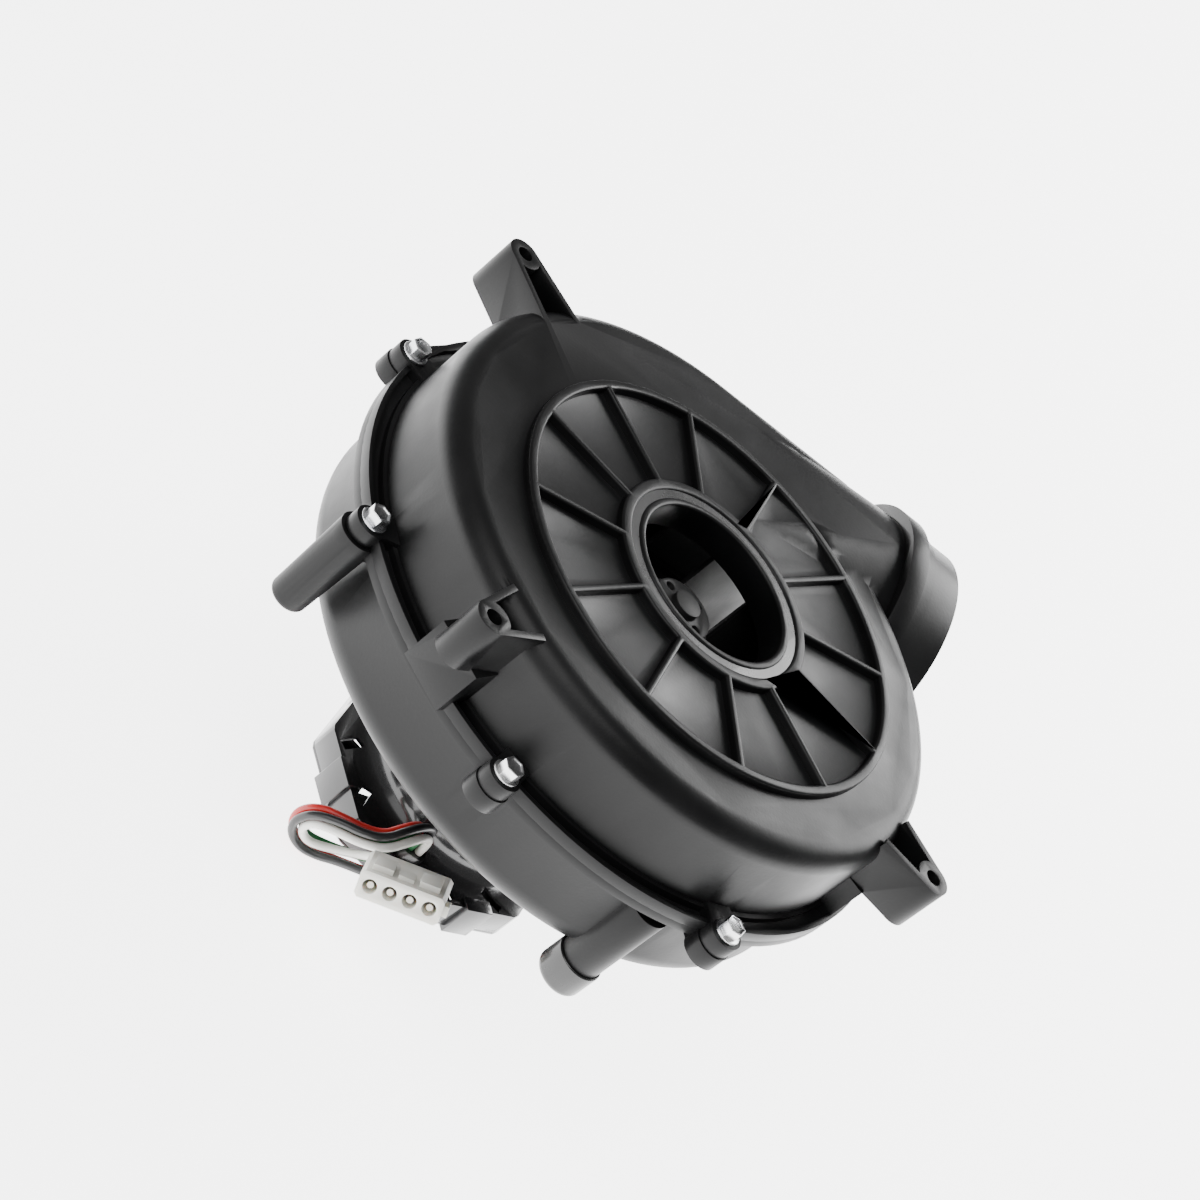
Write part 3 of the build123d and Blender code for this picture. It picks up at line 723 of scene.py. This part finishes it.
def screw_model(settings):
    """One hex washer head screw with its seat at the origin, pointing up."""
    bpy.ops.mesh.primitive_cylinder_add(
        vertices=6,
        radius=settings.head_width / 2 / math.cos(math.radians(30)),
        depth=settings.head_height,
        location=(0, 0, settings.washer_height + settings.head_height / 2),
    )
    head = bpy.context.object
    settle(head)
    bpy.ops.object.mode_set(mode="EDIT")
    select_where(head, lambda c, n: n.z > 0.9)
    bpy.ops.mesh.inset(thickness=0.55 * MM, depth=0)
    bpy.ops.mesh.inset(thickness=0.35 * MM, depth=-0.35 * MM)
    bpy.ops.mesh.inset(thickness=0.5 * MM, depth=-0.1 * MM)
    bpy.ops.object.mode_set(mode="OBJECT")
    bevel = head.modifiers.new("Edges", "BEVEL")
    bevel.width = 0.28 * MM
    bevel.segments = 3
    bevel.limit_method = "ANGLE"
    bevel.angle_limit = math.radians(35)
    apply_modifiers(head)
    bpy.ops.mesh.primitive_cylinder_add(
        vertices=48,
        radius=settings.washer_radius,
        depth=settings.washer_height,
        location=(0, 0, settings.washer_height / 2),
    )
    washer = bpy.context.object
    settle(washer)
    bpy.ops.object.mode_set(mode="EDIT")
    select_where(washer, lambda c, n: n.z > 0.9)
    bpy.ops.mesh.inset(thickness=1.0 * MM, depth=0.12 * MM)
    bpy.ops.object.mode_set(mode="OBJECT")
    rim = washer.modifiers.new("Rim", "BEVEL")
    rim.width = 0.2 * MM
    rim.segments = 3
    rim.limit_method = "ANGLE"
    rim.angle_limit = math.radians(30)
    apply_modifiers(washer)
    bpy.ops.mesh.primitive_cylinder_add(
        vertices=24, radius=SHANK_RADIUS, depth=SHANK_LENGTH, location=(0, 0, -SHANK_LENGTH / 2)
    )
    shank = bpy.context.object
    settle(shank)
    bpy.ops.object.mode_set(mode="EDIT")
    select_where(shank, lambda c, n: n.z < -0.9)
    bpy.ops.mesh.extrude_region_move(TRANSFORM_OT_translate={"value": (0, 0, -0.01 * MM)})
    bpy.ops.transform.resize(value=(0.5, 0.5, 1), center_override=(0, 0, -SHANK_LENGTH))
    bpy.ops.object.mode_set(mode="OBJECT")
    deselect()
    for piece in (shank, washer, head):
        piece.select_set(True)
    bpy.context.view_layer.objects.active = head
    bpy.ops.object.join()
    return bpy.context.object


class BLOWER_OT_screws(bpy.types.Operator):
    """Models the housing's hex washer head screws and sets one in each boss"""

    bl_idname = "blower.screws"
    bl_label = "Screws"

    def execute(self, context):
        settings = context.scene.blower_fixing
        deselect()
        master = screw_model(settings)
        height = settings.washer_height + settings.head_height
        for index, (centre, high) in enumerate(screw_centres()):
            screw = master.copy()
            screw.data = master.data.copy()
            context.scene.collection.objects.link(screw)
            screw.name = "housing_screw_%d" % (index + 1)
            turn = Matrix.Rotation(math.radians(SCREW_TURN * index), 4, "Z")
            screw.data.transform(Matrix.Translation((centre.x, centre.y, high - height)) @ turn)
            give(screw, zinc_steel())
            smooth(screw)
            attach(screw, "housing_body")
            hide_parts("housing_screws")
        bpy.data.objects.remove(master)
        return {"FINISHED"}


class BLOWER_OT_plug(bpy.types.Operator):
    """Rounds the plug's edges and gives it natural nylon and tinned contacts"""

    bl_idname = "blower.plug"
    bl_label = "Plug"

    def execute(self, context):
        plug = softened("plug_housing", "plug_moulding", 0.35 * MM, 3, 30.0)
        give(plug, white_nylon())
        give(NODES["plug_pins"], contact_metal())
        return {"FINISHED"}


LEAD_COLOURS = {
    "green": (0.02, 0.16, 0.05),
    "white": (0.78, 0.77, 0.73),
    "black": (0.012, 0.012, 0.013),
    "red": (0.55, 0.015, 0.012),
}
# Each lead's route between the grommet and the plug, in millimetres.
LEAD_TURNS = {
    "green": (
        (-12.5, -36, -117), (-14, -37.5, -113.5), (-17, -40, -112), (-20, -43.5, -113), (-24.5, -46.5, -117),
        (-31, -46.5, -120), (-38, -44.5, -122), (-44, -42.5, -125), (-46, -41, -129), (-44.5, -40, -133.5),
        (-40.5, -39.5, -136.5), (-34.5, -39, -136), (-29, -40.5, -133), (-23, -42.5, -128.5),
        (-18, -44, -124.5),
    ),
    "white": (
        (-9.5, -36, -116), (-11.5, -38, -111.5), (-15.5, -42, -109.5), (-19.5, -46, -111),
        (-24.5, -49.5, -115.5), (-32, -49.5, -119), (-39, -48, -121.5), (-45, -46, -125.5),
        (-46, -44.5, -130), (-44, -43.5, -133.5), (-40, -43, -135.5), (-35.5, -42.5, -134.5),
        (-30.5, -43, -131.5), (-25.5, -44, -127.5),
    ),
    "black": (
        (-9.5, -33, -115.5), (-12, -35.5, -109.5), (-17, -40, -107), (-22, -44.5, -108.5), (-26.5, -48, -113),
        (-33, -48.5, -116), (-40, -47, -118.5), (-47.5, -45.5, -123), (-49.5, -44.5, -130),
        (-46.5, -43.5, -136), (-40.5, -43.5, -139), (-34.5, -44, -137.5), (-29.5, -45, -134),
        (-22.5, -48, -129), (-15.5, -49, -125.5), (-10.5, -48, -121),
    ),
    "red": (
        (-12.5, -33, -116.5), (-15, -35, -111.5), (-18.5, -38.5, -109.5), (-22.5, -42, -111),
        (-26.5, -45, -114.5), (-32.5, -45, -117), (-39.5, -44, -119), (-46.5, -42, -122.5),
        (-49.5, -41, -129), (-47, -40, -136), (-41, -40, -139.5), (-33.5, -40.5, -139),
        (-28, -42.5, -135.5), (-21, -45, -131), (-14, -46, -127.5), (-7.5, -46.5, -123),
        (-4, -47.5, -117.5),
    ),
}
# Each lead's place in the plug and its corner of the bundle.
LEAD_CIRCUITS = {"white": 0, "green": 1, "black": 2, "red": 3}
LEAD_CORNERS = {"green": (-1, -1), "white": (1, -1), "black": (1, 1), "red": (-1, 1)}
LEAD_EXIT = Vector((-11.0, -34.5, -120.0))
LEAD_PITCH = 3.4
PLUG_FACE = Vector((-22.4, -75.4, -106.5))
PLUG_OUT = Vector((-0.3135, -0.8969, 0.3113))
PLUG_ROW = Vector((0.888, -0.160, 0.432))
PLUG_PITCH = 6.35
PLUG_DEPTH = 20.0
PLUG_APPROACH = 8.0


def lead_points(colour):
    """The lead's route from the motor's grommet to its own place in the plug, in metres."""
    across, along = LEAD_CORNERS[colour]
    circuit = LEAD_CIRCUITS[colour]
    start = LEAD_EXIT + LEAD_PITCH / 2 * Vector((across, along, 0))
    end = PLUG_FACE - PLUG_DEPTH * PLUG_OUT + (circuit - 1.5) * PLUG_PITCH * PLUG_ROW
    route = [start, *(Vector(p) for p in LEAD_TURNS[colour]), end - PLUG_APPROACH * PLUG_OUT, end]
    return [point * MM for point in route]


class BLOWER_OT_leads(bpy.types.Operator):
    """Runs the motor's leads from the grommet to the plug"""

    bl_idname = "blower.leads"
    bl_label = "Leads"

    def execute(self, context):
        diameter = context.scene.blower_wiring.lead_diameter
        for colour in LEAD_TURNS:
            points = lead_points(colour)
            curve = bpy.data.curves.new("lead_" + colour + "_wire", "CURVE")
            curve.dimensions = "3D"
            curve.bevel_depth = diameter / 2
            curve.bevel_resolution = 6
            curve.resolution_u = 14
            curve.use_fill_caps = True
            spline = curve.splines.new("NURBS")
            spline.points.add(len(points) - 1)
            for target, point in zip(spline.points, points):
                target.co = (*point, 1.0)
            spline.order_u = 3
            spline.use_endpoint_u = True
            lead = bpy.data.objects.new("lead_" + colour + "_wire", curve)
            context.scene.collection.objects.link(lead)
            curve.materials.append(insulation("Insulation " + colour.title(), LEAD_COLOURS[colour]))
            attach(lead, "housing_body")
            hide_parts("lead_" + colour)
        return {"FINISHED"}


class BLOWER_OT_studio(bpy.types.Operator):
    """Sets the floor, the soft lights and the camera"""

    bl_idname = "blower.studio"
    bl_label = "Studio"

    def execute(self, context):
        settings = context.scene.blower_studio
        floor_height = CAD_BOX[0][2] - FLOOR_GAP
        bpy.ops.mesh.primitive_plane_add(size=FLOOR_SIZE, location=(0, 0, floor_height))
        floor = context.object
        floor.name = "studio_floor"
        material, shader = surface_material(
            "Pale Floor", (0.90, 0.90, 0.90), (0.92, 0.92, 0.92), (0.55, 0.65), 4.0, 30.0, 0.0, 0.0
        )
        shader.inputs["Emission Color"].default_value = (1, 1, 1, 1)
        shader.inputs["Emission Strength"].default_value = FLOOR_GLOW
        give(floor, material)
        for name, place, size, power in LAMPS:
            self.light(name, place, size, getattr(settings, power))
        world = bpy.data.worlds.new("Studio")
        world.use_nodes = True
        background = world.node_tree.nodes["Background"]
        background.inputs["Color"].default_value = (1, 1, 1, 1)
        background.inputs["Strength"].default_value = WORLD_LIGHT
        context.scene.world = world
        camera_data = bpy.data.cameras.new("camera")
        camera_data.lens = settings.lens
        camera_data.sensor_width = SENSOR_WIDTH
        camera = bpy.data.objects.new("camera", camera_data)
        context.scene.collection.objects.link(camera)
        right = Vector(CAMERA_RIGHT).normalized()
        back = Vector(CAMERA_BACK).normalized()
        up = back.cross(right).normalized()
        right = up.cross(back)
        turn = Matrix((right, up, back)).transposed().to_4x4()
        camera.matrix_world = Matrix.Translation(CAMERA_PLACE) @ turn
        context.scene.camera = camera
        return {"FINISHED"}

    def light(self, name, place, size, power):
        data = bpy.data.lights.new(name, "AREA")
        data.energy = power
        data.size = size
        lamp = bpy.data.objects.new(name, data)
        bpy.context.scene.collection.objects.link(lamp)
        lamp.location = place
        lamp.rotation_euler = Vector(place).to_track_quat("Z", "Y").to_euler()


class BLOWER_PT_panel(bpy.types.Panel):
    """Lists the blower's pieces in the order they are made"""

    bl_idname = "BLOWER_PT_panel"
    bl_label = "Draft Inducer Blower"
    bl_space_type = "VIEW_3D"
    bl_region_type = "UI"
    bl_category = "Blower"

    def draw(self, context):
        for operator in OPERATORS:
            self.layout.operator(operator.bl_idname)


OPERATORS = (
    BLOWER_OT_studio,
    BLOWER_OT_plug,
    BLOWER_OT_leads,
    BLOWER_OT_housing,
    BLOWER_OT_wheel,
    BLOWER_OT_rubber,
    BLOWER_OT_motor,
    BLOWER_OT_screws,
)
GROUPS = (MouldingSettings, FixingSettings, WiringSettings, StudioSettings)


def register():
    for cls in GROUPS + OPERATORS + (BLOWER_PT_panel,):
        bpy.utils.register_class(cls)
    bpy.types.Scene.blower_moulding = PointerProperty(type=MouldingSettings)
    bpy.types.Scene.blower_fixing = PointerProperty(type=FixingSettings)
    bpy.types.Scene.blower_wiring = PointerProperty(type=WiringSettings)
    bpy.types.Scene.blower_studio = PointerProperty(type=StudioSettings)


def unregister():
    for name in ("blower_studio", "blower_wiring", "blower_fixing", "blower_moulding"):
        delattr(bpy.types.Scene, name)
    for cls in reversed(GROUPS + OPERATORS + (BLOWER_PT_panel,)):
        bpy.utils.unregister_class(cls)


def main():
    register()
    bpy.ops.blower.studio()
    bpy.ops.blower.plug()
    bpy.ops.blower.leads()
    bpy.ops.blower.housing()
    bpy.ops.blower.wheel()
    bpy.ops.blower.rubber()
    bpy.ops.blower.motor()
    bpy.ops.blower.screws()
    deselect()


if __name__ == "__main__":
    main()
